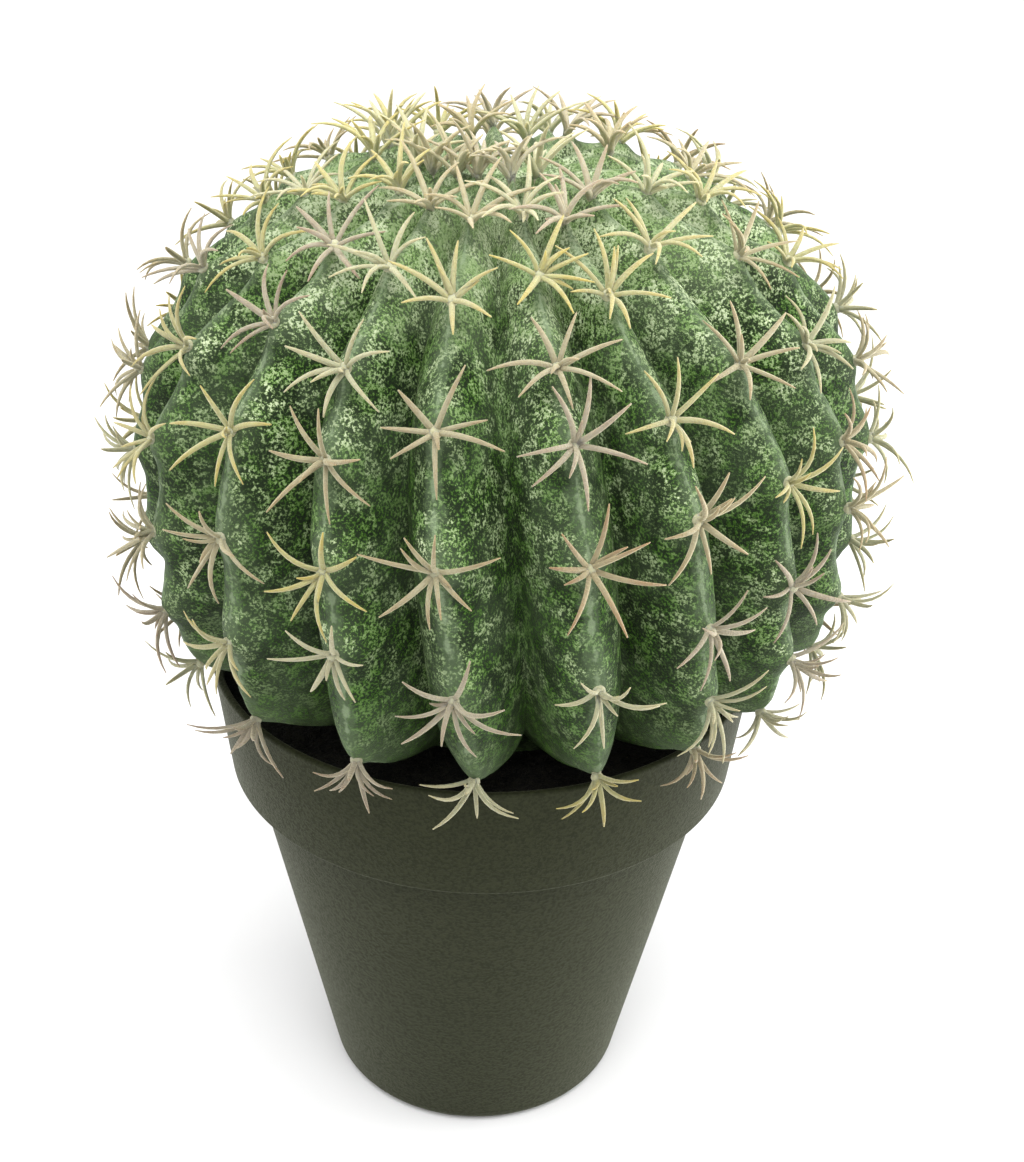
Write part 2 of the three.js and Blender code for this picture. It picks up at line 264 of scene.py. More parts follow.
def set_bump(tree, shader, height, distance, strength=1.0):
    inputs = {"Height": height, "Distance": distance, "Strength": strength}
    bump = add_node(tree, "ShaderNodeBump", inputs)
    tree.links.new(bump.outputs["Normal"], shader.inputs["Normal"])


def set_floor_look():
    material, tree, shader = new_material("studio_floor")
    cloud = use_group(tree, PATCHES, place=object_place(tree), size=0.4, contrast=0.3)
    white = mix_colours(tree, cloud, (0.75, 0.75, 0.75, 1), (0.77, 0.77, 0.77, 1))
    tree.links.new(white, shader.inputs["Base Color"])
    shader.inputs["Roughness"].default_value = 0.9
    return material


OLIVE = (0.0205, 0.0234, 0.0098, 1)
PALE_OLIVE = (0.0230, 0.0258, 0.0110, 1)
GRAIN_OLIVE = (0.0110, 0.0126, 0.0054, 1)


def set_pot_look():
    """Matt dark olive-grey plastic with a very fine grain."""
    material, tree, shader = new_material("pot_plastic")
    place = object_place(tree)
    grain = remap(tree, use_group(tree, GRAIN, place=place, size=0.0011), 0.36, 0.64)
    cloud = use_group(tree, PATCHES, place=place, size=0.05, contrast=0.25)
    base = mix_colours(tree, cloud, OLIVE, PALE_OLIVE)
    grained = mix_colours(tree, maths(tree, "MULTIPLY", grain, 0.8), base, GRAIN_OLIVE)
    tree.links.new(grained, shader.inputs["Base Color"])
    tree.links.new(remap(tree, grain, 0.0, 1.0, 0.5, 0.62), shader.inputs["Roughness"])
    shader.inputs["Specular IOR Level"].default_value = 0.08
    shader.inputs["Sheen Weight"].default_value = 0.1
    shader.inputs["Sheen Roughness"].default_value = 0.4
    shader.inputs["Sheen Tint"].default_value = (0.95, 1, 0.7, 1)
    set_bump(tree, shader, grain, 0.00006)
    return material


SOIL_BLACK = (0.0025, 0.0026, 0.0016, 1)
SOIL_BROWN = (0.009, 0.0085, 0.0055, 1)
SOIL_FIBRE = (0.035, 0.03, 0.02, 1)


def set_soil_look():
    """Near-black potting soil with paler fibres."""
    material, tree, shader = new_material("potting_soil")
    place = object_place(tree)
    crumbs = use_group(tree, SPECKS, place=place, size=0.0022, cover=0.5, softness=0.15)
    fibres = use_group(tree, SPECKS, place=place, size=0.0016, cover=0.18, curl=2.5)
    dark = mix_colours(tree, crumbs, SOIL_BLACK, SOIL_BROWN)
    with_fibres = mix_colours(tree, maths(tree, "MULTIPLY", fibres, 0.6), dark, SOIL_FIBRE)
    tree.links.new(with_fibres, shader.inputs["Base Color"])
    tree.links.new(remap(tree, crumbs, 0.0, 1.0, 0.85, 1.0), shader.inputs["Roughness"])
    shader.inputs["Specular IOR Level"].default_value = 0.2
    set_bump(tree, shader, maths(tree, "ADD", crumbs, fibres), 0.0008)
    return material


# The skin's colours: two greens on a deep one, three kinds of fleck, and the bloom over them, laid on
# paler and thicker towards the crown, partly as a painted top light.
DEEP_GREEN = (0.012, 0.022, 0.008, 1)
LEAF_GREEN = (0.035, 0.070, 0.017, 1)
VIVID_GREEN = (0.044, 0.132, 0.008, 1)
PALE_FLECK = (0.270, 0.390, 0.155, 1)
BRIGHT_FLECK = (0.160, 0.310, 0.060, 1)
WHITE_FLECK = (0.660, 0.750, 0.490, 1)
BLOOM = (0.125, 0.180, 0.094, 1)
# Paler bloom at the crown, partly a painted top light.
CROWN_BLOOM_AND_TOP_LIGHT = (0.340, 0.420, 0.255, 1)
# A painted highlight along the very crests.
CREST_HIGHLIGHT = (0.27, 0.35, 0.21, 1)
LOW_DUST = (0.052, 0.082, 0.028, 1)


def skin_masks(tree):
    """Where the skin's colours lie, from the shares kept in its mesh and from noise of several sizes."""
    place = object_place(tree)
    masks = SimpleNamespace()
    masks.crest = attribute(tree, "crest")
    masks.height = attribute(tree, "height")
    masks.pit = attribute(tree, "pit")
    masks.hues = use_group(tree, PATCHES, place=place, size=0.009, contrast=0.07)
    masks.films = use_group(tree, PATCHES, place=place, size=0.02, contrast=0.07)
    masks.regions = use_group(tree, PATCHES, place=place, size=0.028, contrast=0.08)
    masks.clumps = use_group(tree, PATCHES, place=place, size=0.005, contrast=0.09)
    masks.grain = use_group(tree, GRAIN, place=place, size=0.0008)
    # Upward and crown lay the bloom and the flecks on thicker towards the top: partly real bloom, partly
    # a painted top light.
    masks.upward = remap(tree, masks.height, 0.5, 0.9)
    masks.crown = remap(tree, masks.height, 0.8, 0.96)
    # Near the stars the crests carry a pale haze, partly bloom and partly a painted highlight.
    masks.haze = maths(tree, "MULTIPLY", attribute(tree, "star"), remap(tree, masks.crest, 0.45, 0.9))
    # The grain, raised in clumps and towards the crown, partly as a painted top light. Flecks lie where
    # it is high.
    raised = maths(tree, "MULTIPLY_ADD", masks.upward, 0.015, maths(tree, "SUBTRACT", masks.grain, 0.04))
    raised = maths(tree, "MULTIPLY_ADD", masks.crown, 0.08, raised)
    masks.clumped = maths(tree, "MULTIPLY_ADD", masks.clumps, 0.08, raised)
    return masks


def ground_colour(tree, masks):
    """Greens grained into the deep one, under a thin bloom near the stars and at the crown, thicker
    towards the top partly as a painted top light.
    """
    green = mix_colours(tree, maths(tree, "MULTIPLY", masks.hues, 0.8), LEAF_GREEN, VIVID_GREEN)
    ground = mix_colours(tree, remap(tree, masks.clumped, 0.45, 0.56), DEEP_GREEN, green)
    veil = maths(tree, "MULTIPLY_ADD", masks.films, 0.2, maths(tree, "MULTIPLY", masks.crown, 0.22))
    veil = maths(tree, "MULTIPLY", veil, remap(tree, masks.upward, 0.0, 1.0, 0.2, 1.0))
    veil = maths(tree, "MAXIMUM", veil, maths(tree, "MULTIPLY", masks.haze, 0.45), clamp=True)
    return mix_colours(tree, veil, ground, mix_colours(tree, masks.crown, BLOOM, CROWN_BLOOM_AND_TOP_LIGHT))


def with_flecks(tree, masks, ground):
    """Pale and bright green flecks with white ones among them, dense near the stars and the crown, where
    they are partly a painted top light.
    """
    dense = maths(tree, "MULTIPLY_ADD", masks.upward, 0.3, 0.15)
    dense = maths(tree, "MULTIPLY_ADD", masks.clumps, 0.45, dense)
    dense = maths(tree, "MULTIPLY_ADD", masks.haze, 0.5, dense)
    dense = maths(tree, "MULTIPLY_ADD", masks.crown, 0.8, dense)
    dense = maths(tree, "MULTIPLY", dense, maths(tree, "MULTIPLY_ADD", masks.regions, 0.45, 0.72))
    dense = maths(tree, "MULTIPLY", dense, remap(tree, masks.height, 0.08, 0.42, 0.35, 1.0), clamp=True)
    green = mix_colours(tree, maths(tree, "MULTIPLY", masks.hues, 0.7), PALE_FLECK, BRIGHT_FLECK)
    green_flecks = maths(tree, "MULTIPLY", remap(tree, masks.clumped, 0.52, 0.57), dense)
    flecked = mix_colours(tree, green_flecks, ground, green)
    whiteness = maths(tree, "MULTIPLY", dense, remap(tree, masks.hues, 0.0, 1.0, 1.0, 0.4))
    white_flecks = maths(tree, "MULTIPLY", remap(tree, masks.clumped, 0.575, 0.63), dense)
    return mix_colours(tree, maths(tree, "MULTIPLY", white_flecks, whiteness), flecked, WHITE_FLECK)


def with_bloom(tree, masks, flecked):
    """Films of bloom, a ragged band of bloom and painted highlight on the crests with a painted highlight
    line along them, dust low down and painted shade in the hollows under the stars.
    """
    # Painted shade: the hollows under the stars darkened towards the deep green.
    colour = mix_colours(tree, maths(tree, "MULTIPLY", masks.pit, 0.6), flecked, DEEP_GREEN)
    colour = mix_colours(tree, maths(tree, "MULTIPLY", masks.films, 0.14), colour, BLOOM)
    fuzz = use_group(tree, PATCHES, place=object_place(tree), size=0.004, contrast=0.22)
    # A ragged pale band along the crests, partly bloom and partly a painted highlight.
    ragged_bloom_and_highlight = maths(tree, "MULTIPLY_ADD", fuzz, 0.12, maths(tree, "SUBTRACT", masks.crest, 0.06))
    colour = mix_colours(tree, remap(tree, ragged_bloom_and_highlight, 0.8, 0.92, 0.0, 0.45), colour, BLOOM)
    colour = mix_colours(tree, remap(tree, masks.height, 0.32, 0.08, 0.0, 0.35), colour, LOW_DUST)
    # Painted highlight: a pale line along the very crest.
    return mix_colours(tree, remap(tree, ragged_bloom_and_highlight, 0.95, 1.02, 0.0, 0.6), colour, CREST_HIGHLIGHT)


def set_skin_look():
    """Dark green skin, densely flecked, with a pale bloom and a painted highlight along the ribs' crests,
    painted shade under the stars and a painted top light towards the crown.
    """
    material, tree, shader = new_material("cactus_skin")
    masks = skin_masks(tree)
    ground = ground_colour(tree, masks)
    colour = with_bloom(tree, masks, with_flecks(tree, masks, ground))
    tree.links.new(colour, shader.inputs["Base Color"])
    tree.links.new(remap(tree, masks.grain, 0.5, 0.65, 0.55, 0.8), shader.inputs["Roughness"])
    shader.inputs["Specular IOR Level"].default_value = 0.12
    set_bump(tree, shader, remap(tree, masks.grain, 0.3, 0.75), 0.0006, 0.8)
    return material


# The colours that every spine takes on in part: pale all over, streaked, pale at the hub, and pale at the
# crown as a painted top light.
SPINE_PALE = (0.66, 0.62, 0.46, 1)
SPINE_STREAK = (0.32, 0.24, 0.13, 1)
SPINE_HUB = (0.78, 0.78, 0.52, 1)
SPINE_TOP_LIGHT = (0.68, 0.66, 0.42, 1)


def spine_colour(tree, streaks, root_colour, tip_colour):
    """The colour along a spine, by the shares kept in its mesh. Spines lower down are darker, a painted
    shade, and those at the crown paler, a painted top light.
    """
    reach = attribute(tree, "reach")
    top_light_share = attribute(tree, "top_light_share")
    blotches = use_group(tree, PATCHES, place=object_place(tree), size=0.004, contrast=0.2)
    along = maths(tree, "MULTIPLY_ADD", blotches, 0.35, maths(tree, "SUBTRACT", reach, 0.15))
    colour = mix_colours(tree, remap(tree, along, 0.25, 1.05), root_colour, tip_colour)
    colour = mix_colours(tree, maths(tree, "MULTIPLY", attribute(tree, "tint"), 0.35), colour, SPINE_PALE)
    colour = mix_colours(tree, maths(tree, "MULTIPLY", streaks, 0.18), colour, SPINE_STREAK)
    colour = mix_colours(tree, remap(tree, reach, 0.1, 0.0, 0.0, 0.7), colour, SPINE_HUB)
    # Painted light: paler towards the crown and darker low down, by the share up the rib.
    colour = mix_colours(tree, remap(tree, top_light_share, 0.7, 0.95, 0.0, 0.35), colour, SPINE_TOP_LIGHT)
    low = remap(tree, top_light_share, 0.0, 0.4, 0.42, 0.54)
    painted_light = maths(tree, "ADD", low, remap(tree, top_light_share, 0.5, 0.88, 0.0, 0.24))
    inputs = {"Value": painted_light, "Color": colour}
    return add_node(tree, "ShaderNodeHueSaturation", inputs).outputs["Color"]


def set_spine_look(name, root_colour, tip_colour):
    """Dull spines, a little translucent, that change colour from the hub to the tips."""
    material, tree, shader = new_material(name)
    streaks = use_group(tree, SPECKS, place=object_place(tree), size=0.0008, cover=0.4, softness=0.12)
    colour = spine_colour(tree, streaks, root_colour, tip_colour)
    tree.links.new(colour, shader.inputs["Base Color"])
    tree.links.new(remap(tree, streaks, 0.0, 1.0, 0.5, 0.65), shader.inputs["Roughness"])
    shader.inputs["Specular IOR Level"].default_value = 0.2
    shader.inputs["Subsurface Weight"].default_value = 0.8
    shader.inputs["Subsurface Radius"].default_value = (1.0, 0.9, 0.6)
    shader.inputs["Subsurface Scale"].default_value = 0.0012
    shader.inputs["Sheen Weight"].default_value = 0.4
    shader.inputs["Sheen Roughness"].default_value = 0.6
    shader.inputs["Sheen Tint"].default_value = (1.0, 0.92, 0.65, 1)
    set_bump(tree, shader, streaks, 0.0001)
    return material


# ---------- meshes ----------
MERGE_DISTANCE = 0.0001
AXIS_DISTANCE = 0.01  # a vertex nearer than this to the axis is on it


def finish_piece(bm, name, material, smooth=True):
    """Scales a mesh to metres and makes a piece of it."""
    bmesh.ops.scale(bm, vec=(MM, MM, MM), verts=bm.verts)
    for face in bm.faces:
        face.smooth = smooth
    mesh = bpy.data.meshes.new(name)
    bm.to_mesh(mesh)
    bm.free()
    mesh.materials.append(material)
    piece = bpy.data.objects.new(name, mesh)
    bpy.context.scene.collection.objects.link(piece)
    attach(piece, "root")
    return piece


def arc(radius_at, height_at, rounding, start, end, steps):
    """Points of a rounded edge, as (radius, height), from one angle in degrees to another."""
    angles = [math.radians(start + (end - start) * i / steps) for i in range(steps + 1)]
    return [(radius_at + rounding * math.cos(a), height_at + rounding * math.sin(a)) for a in angles]


def spin_chain(bm, chain, steps):
    """Spins a chain of vertices, from the axis back to it, into a closed body round the Z axis."""
    edges = [bm.edges.new(pair) for pair in zip(chain, chain[1:])]
    bmesh.ops.spin(
        bm,
        geom=chain + edges,
        axis=(0, 0, 1),
        cent=(0, 0, 0),
        angle=math.tau,
        steps=steps,
        use_merge=True,
    )
    bmesh.ops.remove_doubles(bm, verts=bm.verts, dist=MERGE_DISTANCE)


def spun(profile, steps):
    """A closed body of revolution from (radius, height) points that start and end on the axis."""
    bm = bmesh.new()
    chain = [bm.verts.new((radius, 0, height)) for radius, height in profile]
    spin_chain(bm, chain, steps)
    bmesh.ops.recalc_face_normals(bm, faces=bm.faces)
    return bm


# ---------- the pot ----------
POT_HEIGHT = POT_HIGH.z
RIM_RADIUS = POT_HIGH.x
COLLAR_HEIGHT = 38
COLLAR_FOOT_RADIUS = 80.7
WALL_TOP_RADIUS = 74.4
BASE_RADIUS = 50
BASE_ROUNDING = 5
EDGE_ROUNDING = 0.9
CORNER_ROUNDING = 1.2
BASE_STEPS = 8
EDGE_STEPS = 4
POT_SIDES = 192
SHARP_ANGLE = 40
POT_WALL = 2.4
POT_FLOOR = 4
COLLAR_FOOT = POT_HEIGHT - COLLAR_HEIGHT
LEDGE = COLLAR_FOOT + POT_WALL


def inner_radius(height):
    """Radius of the pot's inside at a height."""
    in_wall = BASE_RADIUS + (WALL_TOP_RADIUS - BASE_RADIUS) * height / COLLAR_FOOT
    collar_lean = (RIM_RADIUS - COLLAR_FOOT_RADIUS) / COLLAR_HEIGHT
    in_collar = COLLAR_FOOT_RADIUS + collar_lean * (height - COLLAR_FOOT)
    return (in_wall if height < LEDGE else in_collar) - POT_WALL


def make_pot(material):
    """The pot's wall, collar and floor, spun from one profile with rounded edges."""
    edge = EDGE_ROUNDING
    corner = CORNER_ROUNDING
    top = POT_HEIGHT - edge
    wall_lean = math.degrees(math.atan((WALL_TOP_RADIUS - BASE_RADIUS) / COLLAR_FOOT))
    inner_rim = RIM_RADIUS - POT_WALL + edge
    profile = [
        (0, 0),
        *arc(BASE_RADIUS - BASE_ROUNDING, BASE_ROUNDING, BASE_ROUNDING, -90, -wall_lean, BASE_STEPS),
        *arc(WALL_TOP_RADIUS + corner, COLLAR_FOOT - corner, corner, 180, 90, EDGE_STEPS),
        *arc(COLLAR_FOOT_RADIUS - edge, COLLAR_FOOT + edge, edge, -90, 0, EDGE_STEPS),
        *arc(RIM_RADIUS - edge, top, edge, 0, 90, EDGE_STEPS),
        *arc(inner_rim, top, edge, 90, 180, EDGE_STEPS),
        (inner_radius(LEDGE), LEDGE),
        (WALL_TOP_RADIUS - POT_WALL, LEDGE),
        (inner_radius(POT_FLOOR), POT_FLOOR),
        (0, POT_FLOOR),
    ]
    piece = finish_piece(spun(profile, POT_SIDES), "pot_wall", material)
    piece.data.set_sharp_from_angle(angle=math.radians(SHARP_ANGLE))
    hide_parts("pot")


# ---------- the soil ----------
SOIL_BELOW_RIM = 10
SOIL_RISE_AT_WALL = 2
FIT_GAP = 0.3
SOIL_Z = POT_HEIGHT - SOIL_BELOW_RIM
SOIL_RINGS = 64
SOIL_SIDES = 180
# The soil's broad and fine lumps: their width, their height and where in the noise they are taken.
SOIL_LUMPS = ((13, 1.1, 0), (3.4, 0.9, 9))
SMOOTH_EDGE = 0.5  # the soil has no lumps this near to the pot's wall
LUMPS_FADE = 3  # and they reach their height this far from it
CRUMB_COUNT = 520
CRUMB_SIZE = (0.7, 2.1)
CRUMB_BREADTH = (0.5, 0.9)  # as shares of a crumb's size
CRUMB_HEIGHT = (0.4, 0.7)
CRUMB_LIFT = 0.3
CRUMB_LUMP = 0.25
CRUMB_LUMP_WIDTH = 1.7
CRUMB_SEED = 11
CRUMBS_FROM_ROOT = 4
CRUMBS_FROM_WALL = 3


def soil_lift(x, y):
    """Height of the soil's lumps over its smooth surface."""
    return sum(
        height * noise.noise(Vector((x, y, level)) / width) for width, height, level in SOIL_LUMPS
    )


def make_soil(material):
    """The soil that fills the pot, with a lumpy top."""
    edge_height = SOIL_Z + SOIL_RISE_AT_WALL
    edge_radius = inner_radius(edge_height) - FIT_GAP
    surface = []
    for i in range(SOIL_RINGS + 1):
        share = 1 - i / SOIL_RINGS
        surface.append((edge_radius * share, SOIL_Z + SOIL_RISE_AT_WALL * share**3))
    profile = [
        (0, POT_FLOOR + FIT_GAP),
        (inner_radius(POT_FLOOR) - FIT_GAP, POT_FLOOR + FIT_GAP),
        (WALL_TOP_RADIUS - POT_WALL - FIT_GAP, LEDGE + FIT_GAP),
        (inner_radius(LEDGE) - FIT_GAP, LEDGE + FIT_GAP),
        *surface,
    ]
    bm = spun(profile, SOIL_SIDES)
    for vert in bm.verts:
        inside = edge_radius - math.hypot(vert.co.x, vert.co.y)
        if vert.co.z > LEDGE + POT_WALL and inside > SMOOTH_EDGE:
            vert.co.z += soil_lift(vert.co.x, vert.co.y) * min(1, inside / LUMPS_FADE)
    piece = finish_piece(bm, "soil_bed", material)
    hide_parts("soil")


def make_crumbs(material):
    """Loose crumbs of soil on the bed, where it shows round the plant."""
    draw = random.Random(CRUMB_SEED)
    noise.seed_set(CRUMB_SEED)  # noise_vector differs from run to run without a seed of its own
    innermost = ROOT_RADIUS + CRUMBS_FROM_ROOT
    outermost = RIM_RADIUS - POT_WALL - CRUMBS_FROM_WALL
    bm = bmesh.new()
    for _ in range(CRUMB_COUNT):
        radius = draw.uniform(innermost, outermost)
        angle = draw.uniform(0, math.tau)
        x, y = radius * math.cos(angle), radius * math.sin(angle)
        size = draw.uniform(*CRUMB_SIZE)
        spot = Vector((x, y, SOIL_Z + soil_lift(x, y) + CRUMB_LIFT * size))
        turn = Matrix.Rotation(draw.uniform(0, math.tau), 4, (draw.random(), draw.random(), 1))
        breadth = size * draw.uniform(*CRUMB_BREADTH)
        height = size * draw.uniform(*CRUMB_HEIGHT)
        place = Matrix.Translation(spot) @ turn @ Matrix.Diagonal((size, breadth, height, 1))
        made = bmesh.ops.create_icosphere(bm, subdivisions=1, radius=1, matrix=place)
        for vert in made["verts"]:
            vert.co += CRUMB_LUMP * size * noise.noise_vector(vert.co / CRUMB_LUMP_WIDTH)
    finish_piece(bm, "soil_crumbs", material, smooth=False)


# ---------- the plant's body ----------
PLANT_SHIFT = 4  # the ball stands this far to +X of the pot's axis
EQUATOR_ABOVE_RIM = 76
# The outlines of the ribs' crests and of the furrows between them: a radius at the equator, and
# above and below it a height and a squareness, where 2 is an ellipse and more is squarer.
CREST = {"radius": 104.5, "upper": (81, 1.95), "lower": (80, 4.07), "dip": 9}
FURROW = {"radius": 83, "upper": (72, 1.95), "lower": (84, 3), "dip": 0}
DIP_RADIUS = 26
ROOT_RADIUS = 40
ROOT_DEPTH = 6
ROOT_CLEARANCE = 1
EQUATOR_Z = POT_HEIGHT + EQUATOR_ABOVE_RIM

# The ribs. An azimuth of 0 faces -Y, the front, and grows towards +X.
RIB_COUNT = 21
FIRST_RIB_AZIMUTH = -59.7
RIB_LEAN = 9.3  # degrees that a rib near LEAN_AZIMUTH leans each way, crown to lower tip
LEAN_AZIMUTH = 46
TIP_FAN = 8  # degrees that the lower tips spread away from FAN_AZIMUTH
FAN_AZIMUTH = -2
FAN_LENGTH = 30
# Degrees that each of the eight ribs in front is turned, at its lower tip, half way to TURN_LENGTH
# up it, and from there on. The other ribs' turns are drawn between the limits of OTHER_TURN.
FRONT_TURNS = [
    (1, -2, 0.5),
    (2.5, 0, -1.5),
    (3.5, 0, 0),
    (1, -2, -0.5),
    (-1, 0.5, 0.5),
    (-3.5, -0.5, -3),
    (-4, -1, -2),
    (0, -2, 4),
]
OTHER_TURN = (-2, 2)
TURN_LENGTH = 150
TURN_SEED = 3
TIP_ABOVE_RIM = 10
TUBERCLE_HEIGHT = 2.6
TUBERCLE_RISE = 10  # over which a tubercle swells, above its star
TUBERCLE_FALL = 6  # and below it
PIT_SHADE_DROP = 6  # from a star down to the middle of the painted shade in the hollow under it
PIT_SHADE_LENGTH = 3.2
# A rib's flanks fall by the distance from its crest to these powers, from sharp to broad: at its
# lower tip, from TIP_TAPER up it and, after an even change, at the crown.
TIP_ROUNDNESS = 1.4
LOW_ROUNDNESS = 1.95
CROWN_ROUNDNESS = 1.5
TIP_TAPER = 36
SKIN_COLUMNS = 20  # to a rib
SKIN_ROWS = 180
SKIN_TOP = 75  # from the equator up to where the skin's height counts as 1
# The skin's broad and fine lumps: their width and their height.
SKIN_LUMPS = ((15, 0.7), (4.5, 0.3))
# The powers of the ribs' section that keep the tubercles and the painted shade of the hollows near the
# crests.
TUBERCLE_SHARPNESS = 3
PIT_SHADE_SHARPNESS = 4

# How far up its rib each star of spines sits, in mm from the rib's lower tip, on the ribs in front.
FRONT_STARS = [
    [3, 28, 54, 82, 109, 138, 164, 190],
    [5, 38, 67, 96, 125, 150, 174, 194],
    [8, 47, 70, 97, 119, 148, 171, 196],
    [5, 38, 74, 107, 141, 168],
    [6, 41, 75, 105, 123, 149, 170, 194],
    [6, 30, 53, 84, 108, 142, 168],
    [3, 30, 55, 86, 117, 154, 177, 200],
    [8, 36, 66, 87, 114, 143, 172],
]
FIRST_STAR = (2, 7)
STAR_STEP = (24, 36)
LAST_STAR = (170, 202)
STAR_SEED = 7

OUTLINE_STEPS = 3000


def seeded_draws(seed):
    """A function that draws evenly between two limits, the same on every run."""
    state = seed

    def draw(limits):
        nonlocal state
        state = (state * 1664525 + 1013904223) % 2**32
        low, high = limits
        return low + (high - low) * state / 2**32

    return draw


def outline(shape):
    """The points of an outline, as (radius, height), from under the plant to the crown."""
    points = []
    for i in range(OUTLINE_STEPS + 1):
        angle = math.pi * (i / OUTLINE_STEPS - 0.5)
        height, squareness = shape["upper"] if angle > 0 else shape["lower"]
        out = shape["radius"] * max(0, math.cos(angle)) ** (2 / squareness)
        rise = math.copysign(height * abs(math.sin(angle)) ** (2 / squareness), angle)
        fall = shape["dip"] * math.exp(-((out / DIP_RADIUS) ** 2)) if angle > 0 else 0
        points.append(Vector((out, EQUATOR_Z + rise - fall)))
    return points


crest_line = outline(CREST)
furrow_line = outline(FURROW)
crest_lengths = [0]
for lower_point, upper_point in zip(crest_line, crest_line[1:]):
    crest_lengths.append(crest_lengths[-1] + (upper_point - lower_point).length)
tip_index = next(i for i, point in enumerate(crest_line) if point.y > POT_HEIGHT + TIP_ABOVE_RIM)
root_index = next(i for i, point in enumerate(furrow_line) if point.x > ROOT_RADIUS)
ROOT_DISTANCE = crest_lengths[root_index] - crest_lengths[tip_index]
CROWN_DISTANCE = crest_lengths[-1] - crest_lengths[tip_index]


@functools.cache
def section_at(distance):
    """The crest, its outward normal and the furrow at a distance up the rib from its lower tip."""
    found = bisect.bisect_left(crest_lengths, distance + crest_lengths[tip_index])
    i = min(max(found, 1), OUTLINE_STEPS - 1)
    along = (crest_line[i + 1] - crest_line[i - 1]).normalized()
    return crest_line[i], Vector((along.y, -along.x)), furrow_line[i]


def rib_turns():
    """For each rib, its turns at the lower tip, half way up and at the top."""
    draw = seeded_draws(TURN_SEED)
    turns = []
    for rib in range(RIB_COUNT):
        drawn = [draw(OTHER_TURN), draw(OTHER_TURN), draw(OTHER_TURN)]
        turns.append(FRONT_TURNS[rib] if rib < len(FRONT_TURNS) else drawn)
    return turns


RIB_TURNS = rib_turns()


def share_of(value, low, high):
    """How far a value is from low to high, from 0 to 1."""
    return min(max((value - low) / (high - low), 0), 1)


def smooth_share(value, low, high):
    share = share_of(value, low, high)
    return share * share * (3 - 2 * share)


def between(first, second, share):
    return first + (second - first) * share


@functools.cache
def rib_azimuth(rib, distance):
    """Azimuth in degrees of a rib's crest. Every rib leans and turns a little."""
    azimuth = FIRST_RIB_AZIMUTH + rib * 360 / RIB_COUNT
    lean = RIB_LEAN * math.cos(math.radians(azimuth - LEAN_AZIMUTH))
    lean *= 1 - 2 * distance / CROWN_DISTANCE
    fan = TIP_FAN * math.sin(math.radians(azimuth - FAN_AZIMUTH))
    fan *= math.exp(-((distance / FAN_LENGTH) ** 2))
    share = share_of(distance, 0, TURN_LENGTH)
    low, middle, high = RIB_TURNS[rib % RIB_COUNT]
    turn = low * (1 - share) * (1 - 2 * share) + middle * 4 * share * (1 - share)
    turn += high * share * (2 * share - 1)
    return azimuth + lean + fan + turn


def azimuth_across(rib, across, distance):
    """Azimuth between a rib's crest, where across is 0, and the next one's, where it is 1."""
    return between(rib_azimuth(rib, distance), rib_azimuth(rib + 1, distance), across)


def star_places():
    """For each rib, the distances of its stars from its lower tip."""
    draw = seeded_draws(STAR_SEED)
    ribs = [list(places) for places in FRONT_STARS]
    while len(ribs) < RIB_COUNT:
        last = draw(LAST_STAR)
        place = draw(FIRST_STAR)
        places = []
        while place < last:
            places.append(place)
            place += draw(STAR_STEP)
        ribs.append(places)
    return ribs


STAR_PLACES = star_places()


@functools.cache
def star_nearness(rib, distance):
    """1 at a star, falling to 0 between the stars, and faster below a star than above it."""
    nearest = 0
    for place in STAR_PLACES[rib % RIB_COUNT]:
        length = TUBERCLE_RISE if distance > place else TUBERCLE_FALL
        nearest = max(nearest, math.exp(-(((distance - place) / length) ** 2)))
    return nearest


@functools.cache
def pit_depth(rib, distance):
    """Painted shade of the hollow under each star: 1 in its middle, and 0 away from it."""
    gaps = [abs(distance - (place - PIT_SHADE_DROP)) for place in STAR_PLACES[rib % RIB_COUNT]]
    return math.exp(-((min(gaps) / PIT_SHADE_LENGTH) ** 2))


def on_plant(radius, height, azimuth):
    angle = math.radians(azimuth)
    return Vector((PLANT_SHIFT + radius * math.sin(angle), -radius * math.cos(angle), height))


def skin_ridge(across, distance):
    """Height of the ribs' section, 1 on a crest and 0 in a furrow."""
    from_crest = 1 - abs(2 * across - 1)
    untapered = between(LOW_ROUNDNESS, CROWN_ROUNDNESS, share_of(distance, 0, CROWN_DISTANCE))
    roundness = between(TIP_ROUNDNESS, untapered, smooth_share(distance, 0, TIP_TAPER))
    return 1 - from_crest**roundness


def skin_point(rib, across, distance):
    """A point of the skin, without its fine relief."""
    crest, normal, furrow = section_at(distance)
    ridge = skin_ridge(across, distance)
    near_star = star_nearness(rib + round(across), distance)
    swelling = TUBERCLE_HEIGHT * near_star * ridge**TUBERCLE_SHARPNESS
    radius, height = furrow.lerp(crest, ridge) + normal * swelling
    return on_plant(radius, height, azimuth_across(rib, across, distance))


def fine_relief(point):
    """Small lumps of the skin."""
    outward = (point - Vector((PLANT_SHIFT, 0, EQUATOR_Z))).normalized()
    return outward * sum(height * noise.noise(point / width) for width, height in SKIN_LUMPS)


